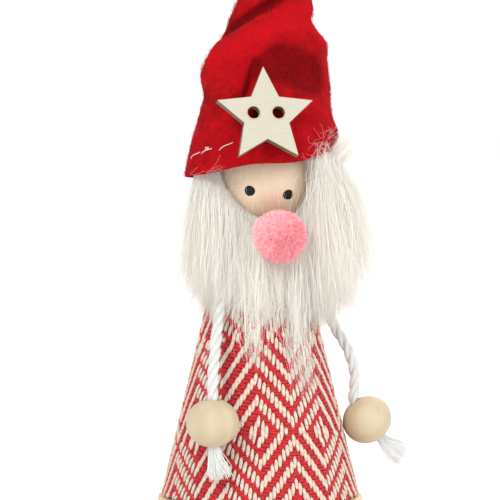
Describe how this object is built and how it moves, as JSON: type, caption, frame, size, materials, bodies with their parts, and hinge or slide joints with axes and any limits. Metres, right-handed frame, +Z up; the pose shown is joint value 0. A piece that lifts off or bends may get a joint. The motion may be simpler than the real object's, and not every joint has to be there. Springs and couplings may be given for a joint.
{
  "type": "gnome figurine",
  "caption": "Standing gnome with a fabric-covered cone body, wooden ball head, felt hat with a wooden star, faux-fur beard and cord arms with bead hands.",
  "frame": {"origin": "centre of the base disc's underside, on the surface the figure stands on", "axes": "+Z up through the body's cone, the face looks along -Y, +X to a viewer's right"},
  "size_m": [0.0763, 0.0672, 0.1864],
  "materials": {
    "wood": "fine-sanded, unvarnished",
    "plywood": "laser-cut birch plywood, edges darkened by the cut",
    "card": "raw",
    "weave": "woven in off-white diamonds on red",
    "felt": "brushed wool felt",
    "wadding": "loose polyester wadding",
    "paint": "thick dots of satin paint",
    "pompom": "fluffy",
    "fur": "long-pile faux fur",
    "cotton": "three-strand twisted cotton cord"
  },
  "bodies": {
    "figure": {"base_disc": "wood", "cone_core": "card", "body_cover": "weave", "arm_cord_crossing": "cotton", "head_ball": "wood", "left_eye": "paint", "right_eye": "paint", "nose_pompom": "pompom", "fur_backing": "fur", "fur_left": "fur", "fur_right": "fur", "fur_back": "fur", "beard": "fur", "hat_felt": "felt", "hat_wadding": "wadding", "star_button": "plywood", "hat_stitch_1": "cotton", "hat_stitch_2": "cotton", "hat_stitch_3": "cotton", "hat_thread_knot": "cotton"},
    "hat_point": {"hat_tip": "felt"},
    "left_shoulder": {"left_shoulder_cord": "cotton"},
    "left_arm": {"left_arm_cord": "cotton", "left_cord_fray": "cotton"},
    "left_hand": {"left_hand_bead": "wood"},
    "right_shoulder": {"right_shoulder_cord": "cotton"},
    "right_arm": {"right_arm_cord": "cotton", "right_cord_fray": "cotton"},
    "right_hand": {"right_hand_bead": "wood"}
  },
  "joints": [
    {"name": "hat_tip_bend", "type": "hinge", "parent": "figure", "child": "hat_point", "pos_m": [0.0043, 0.0005, 0.153], "axis": [0, 1, 0], "range_deg": [-20, 20], "stiffness_Nm_per_rad": 0.01},
    {"name": "left_arm_lift", "type": "hinge", "parent": "figure", "child": "left_shoulder", "pos_m": [-0.00964, -0.0107, 0.076], "axis": [-0.978, 0.2087, 0], "range_deg": [0, 60]},
    {"name": "left_arm_swing", "type": "hinge", "parent": "left_shoulder", "child": "left_arm", "pos_m": [-0.00964, -0.0107, 0.076], "axis": [0.2031, 0.9518, -0.2297], "range_deg": [-8, 40]},
    {"name": "left_hand_turn", "type": "hinge", "parent": "left_arm", "child": "left_hand", "pos_m": [-0.0136, -0.0292, 0.0293], "axis": [0, 0, 1], "continuous": true},
    {"name": "right_arm_lift", "type": "hinge", "parent": "figure", "child": "right_shoulder", "pos_m": [0.0144, 0, 0.076], "axis": [0, -1, 0], "range_deg": [0, 60]},
    {"name": "right_arm_swing", "type": "hinge", "parent": "right_shoulder", "child": "right_arm", "pos_m": [0.0144, 0, 0.076], "axis": [0.9733, 0, 0.2297], "range_deg": [-35, 35]},
    {"name": "right_hand_turn", "type": "hinge", "parent": "right_arm", "child": "right_hand", "pos_m": [0.0321, 0, 0.0273], "axis": [0.591, 0, -0.8067], "continuous": true}
  ]
}
